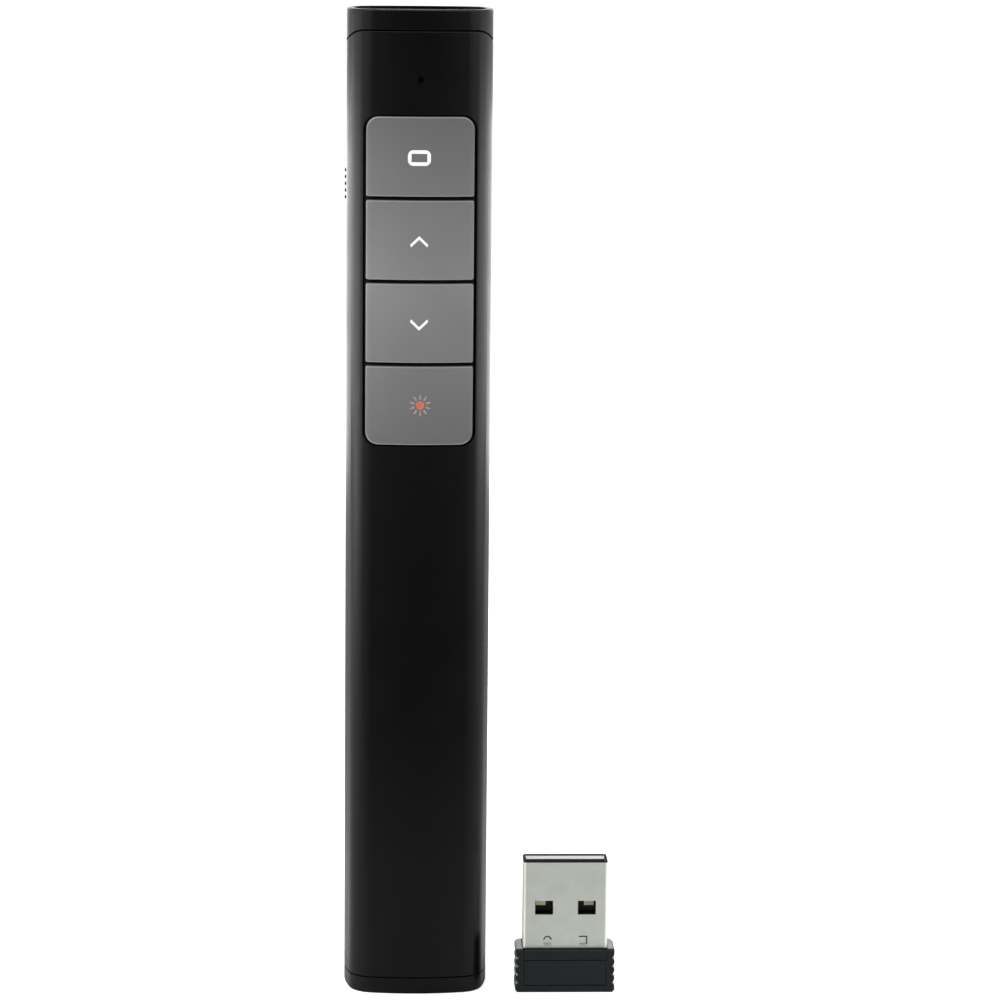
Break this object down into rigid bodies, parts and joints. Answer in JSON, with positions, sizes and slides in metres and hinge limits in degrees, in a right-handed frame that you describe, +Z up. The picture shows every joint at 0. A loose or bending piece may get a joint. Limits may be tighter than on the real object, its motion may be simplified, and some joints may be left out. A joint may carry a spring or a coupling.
{
  "type": "wireless presentation clicker",
  "caption": "Slim handheld presentation remote with a column of keys, a side power slider, a tilting battery door and a tail bay for its separate USB receiver.",
  "frame": {"origin": "centre of the clicker's base, at the mouth of the receiver bay, on the surface it stands on", "axes": "+Z up along the clicker to its laser nose, -Y towards the user's side with the keys, +X to the user's right, where the receiver stands"},
  "size_m": [0.0392, 0.0176, 0.1405],
  "materials": {
    "shell": "satin moulded black",
    "nose": "smooth black",
    "keycap": "fine matt grey",
    "slider": "ribbed black",
    "inner_plastic": "plain moulded",
    "board": "solder mask over glass laminate",
    "metal_can": "satin can",
    "steel": "nickel-plated steel",
    "contact": "plated brass",
    "lead": "insulated wire",
    "clear": "clear",
    "tongue": "white moulded"
  },
  "bodies": {
    "handset": {"battery_cell": "metal_can", "battery_lead": "lead", "board_screws": "steel", "boost_inductor": "inner_plastic", "case_screw": "steel", "chip_parts": "inner_plastic", "crystal_can": "metal_can", "dock_magnet": "steel", "front_cover": "shell", "key_frame": "inner_plastic", "laser_barrel": "contact", "laser_driver": "board", "laser_leads": "lead", "laser_lens": "clear", "light_pipe": "clear", "main_board": "board", "negative_contact": "contact", "negative_spring": "steel", "nose_plate": "nose", "positive_contact": "contact", "radio_chip": "inner_plastic", "rear_housing": "shell", "slide_switch": "inner_plastic", "smoothing_capacitor": "metal_can", "status_led": "clear", "tact_switch_blank_screen": "inner_plastic", "tact_switch_laser": "inner_plastic", "tact_switch_page_down": "inner_plastic", "tact_switch_page_up": "inner_plastic", "tail_dock": "shell"},
    "laser_button": {"laser_key": "keycap", "switch_plunger_laser": "inner_plastic"},
    "page_down_button": {"page_down_key": "keycap", "switch_plunger_page_down": "inner_plastic"},
    "page_up_button": {"page_up_key": "keycap", "switch_plunger_page_up": "inner_plastic"},
    "blank_screen_button": {"blank_screen_key": "keycap", "switch_plunger_blank_screen": "inner_plastic"},
    "power_slider": {"power_knob": "slider", "switch_lever": "inner_plastic"},
    "battery_hatch": {"battery_door": "shell"},
    "receiver": {"receiver_housing": "shell", "usb_shell": "steel", "usb_tongue": "tongue", "contact_carrier": "inner_plastic", "usb_contacts": "contact", "receiver_board": "board", "receiver_chip": "inner_plastic"}
  },
  "joints": [
    {"name": "laser_press", "type": "slide", "parent": "handset", "child": "laser_button", "axis": [0, 1, 0], "range_m": [0, 0.00035], "stiffness_N_per_m": 800, "springref_m": -0.0005},
    {"name": "page_down_press", "type": "slide", "parent": "handset", "child": "page_down_button", "axis": [0, 1, 0], "range_m": [0, 0.00035], "stiffness_N_per_m": 800, "springref_m": -0.0005},
    {"name": "page_up_press", "type": "slide", "parent": "handset", "child": "page_up_button", "axis": [0, 1, 0], "range_m": [0, 0.00035], "stiffness_N_per_m": 800, "springref_m": -0.0005},
    {"name": "blank_screen_press", "type": "slide", "parent": "handset", "child": "blank_screen_button", "axis": [0, 1, 0], "range_m": [0, 0.00035], "stiffness_N_per_m": 800, "springref_m": -0.0005},
    {"name": "power_slide", "type": "slide", "parent": "handset", "child": "power_slider", "axis": [0, 0, 1], "range_m": [0, 0.002]},
    {"name": "battery_door_tilt", "type": "hinge", "parent": "handset", "child": "battery_hatch", "pos_m": [0, 0.0088, 0.02235], "axis": [-1, 0, 0], "range_deg": [0, 60]},
    {"name": "receiver_lift", "type": "slide", "parent": "handset", "child": "receiver", "axis": [0, 0, 1], "range_m": [0, 0.04]}
  ]
}
